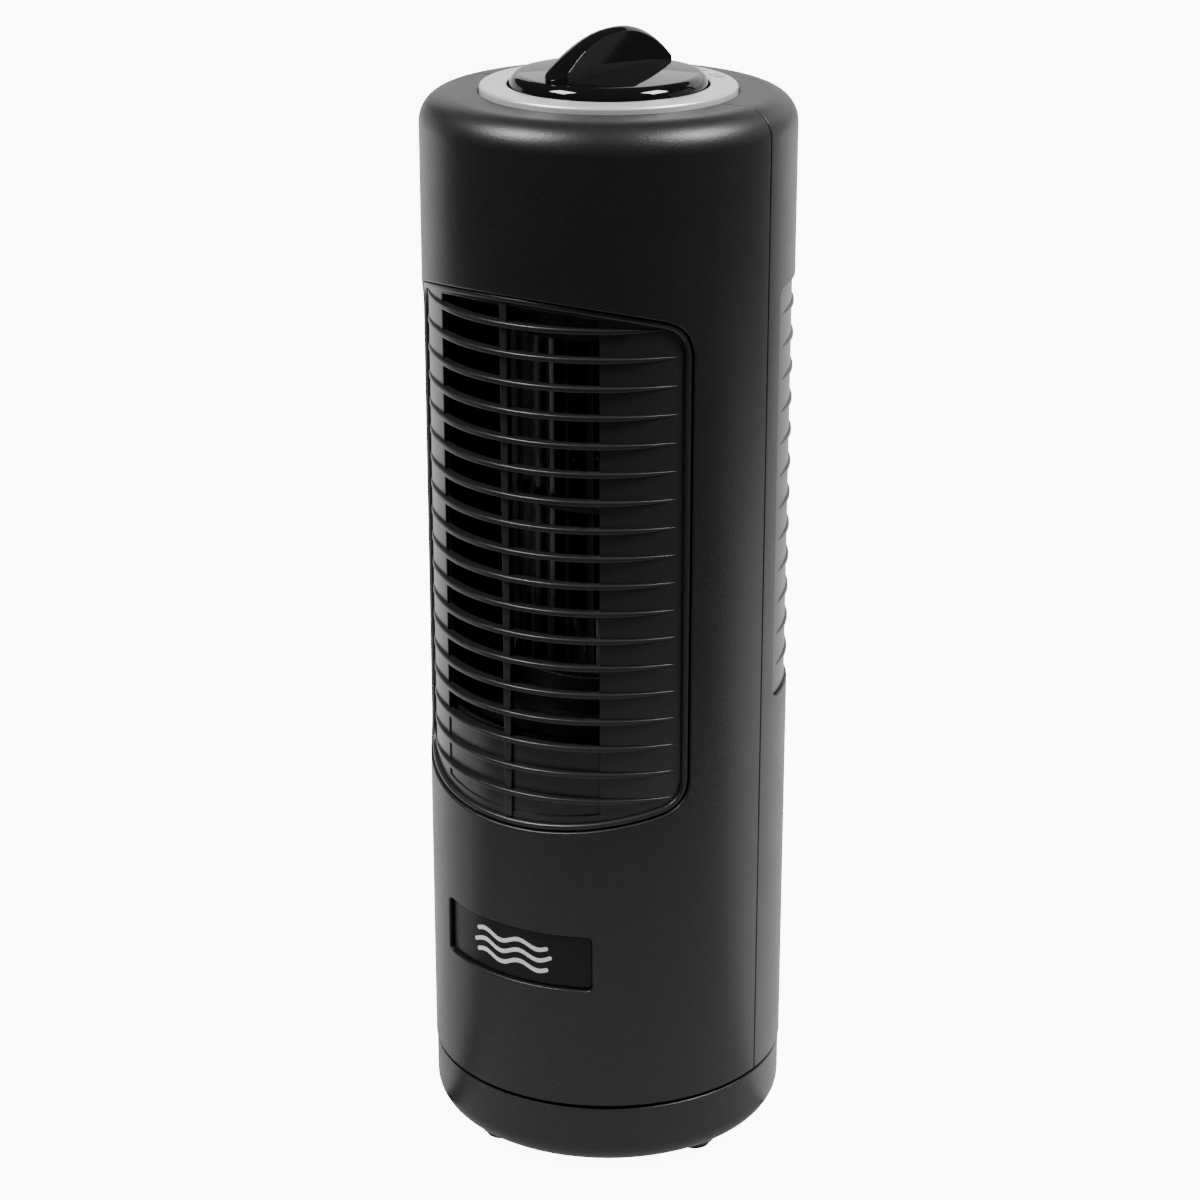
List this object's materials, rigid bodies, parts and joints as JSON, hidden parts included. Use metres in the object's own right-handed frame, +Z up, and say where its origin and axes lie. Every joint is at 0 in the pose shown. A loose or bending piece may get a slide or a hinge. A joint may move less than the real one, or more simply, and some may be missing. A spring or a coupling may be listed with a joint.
{
  "type": "tower fan",
  "caption": "Small upright desktop tower fan: round casing with a ribbed curved window, cross-flow impeller, rotary dial on top and a round swinging base on rubber feet.",
  "frame": {"origin": "on the floor under the middle of the base", "axes": "+Z up along the casing's axis, -Y out of the air outlet, +X to the right of someone who faces the outlet"},
  "size_m": [0.106, 0.106, 0.3324],
  "materials": {
    "casing_black": "fine moulded texture, satin black",
    "gloss_black": "polished black",
    "dial_silver": "satin silver",
    "inner_black": "plain moulded black",
    "impeller_black": "moulded black",
    "rubber": "soft matte black",
    "natural_nylon": "natural translucent white",
    "steel": "bright zinc plate",
    "lamination": "stacked sheet edges",
    "cast_alloy": "as cast",
    "copper": "enamelled wire",
    "bronze": "sintered bronze",
    "lead_sleeve": "black sleeve"
  },
  "bodies": {
    "base": {"base_cup": "casing_black", "base_deck": "inner_black", "wear_ring": "natural_nylon", "pivot_retainer": "steel", "foot_1": "rubber", "foot_2": "rubber", "foot_3": "rubber", "foot_4": "rubber", "cord_gland": "rubber", "deck_screw_1": "steel", "deck_screw_2": "steel", "link_screw": "steel"},
    "tower": {"front_shell": "casing_black", "rear_shell": "casing_black", "shell_screw_1": "steel", "shell_screw_2": "steel", "shell_screw_3": "steel", "shell_screw_4": "steel", "front_grille": "casing_black", "rear_grille": "casing_black", "badge_plate": "gloss_black", "dial_ring": "dial_silver", "switch_plate": "inner_black", "switch_body": "inner_black", "switch_nut": "steel", "switch_terminal_1": "bronze", "switch_terminal_2": "bronze", "duct_floor": "inner_black", "duct_roof": "inner_black", "scroll_guide": "inner_black", "tongue": "inner_black", "top_bearing": "bronze", "bearing_holder": "rubber", "stator_stack": "lamination", "coil_bobbin": "natural_nylon", "coil_winding": "copper", "upper_bracket": "cast_alloy", "lower_bracket": "cast_alloy", "upper_bearing": "bronze", "lower_bearing": "bronze", "motor_bolt_1": "steel", "motor_bolt_2": "steel", "motor_grommet_1": "rubber", "motor_grommet_2": "rubber", "tower_floor": "inner_black", "swing_motor": "steel", "swing_screw_1": "steel", "swing_screw_2": "steel", "wiring_loom": "lead_sleeve"},
    "rotor": {"impeller": "impeller_black", "hub_bush": "rubber", "impeller_pin": "steel", "motor_shaft": "steel", "motor_rotor": "lamination"},
    "control": {"knob": "gloss_black", "switch_shaft": "natural_nylon"},
    "crank": {"crank_disc": "natural_nylon", "swing_shaft": "steel"},
    "link": {"link_arm": "natural_nylon"}
  },
  "joints": [
    {"name": "swing", "type": "hinge", "parent": "base", "child": "tower", "pos_m": [0, 0, 0.0224], "axis": [0, 0, 1], "range_deg": [-7, 63]},
    {"name": "impeller_spin", "type": "hinge", "parent": "tower", "child": "rotor", "pos_m": [0, 0, 0.15], "axis": [0, 0, 1], "continuous": true},
    {"name": "dial_turn", "type": "hinge", "parent": "tower", "child": "control", "pos_m": [0, 0, 0.312], "axis": [0, 0, 1], "range_deg": [-30, 42]},
    {"name": "crank_spin", "type": "hinge", "parent": "tower", "child": "crank", "pos_m": [0.012, 0.016, 0.0164], "axis": [0, 0, 1], "continuous": true},
    {"name": "link_swing", "type": "hinge", "parent": "base", "child": "link", "pos_m": [0.0106, 0.00563, 0.0125], "axis": [0, 0, 1], "range_deg": [-20, 20]}
  ]
}
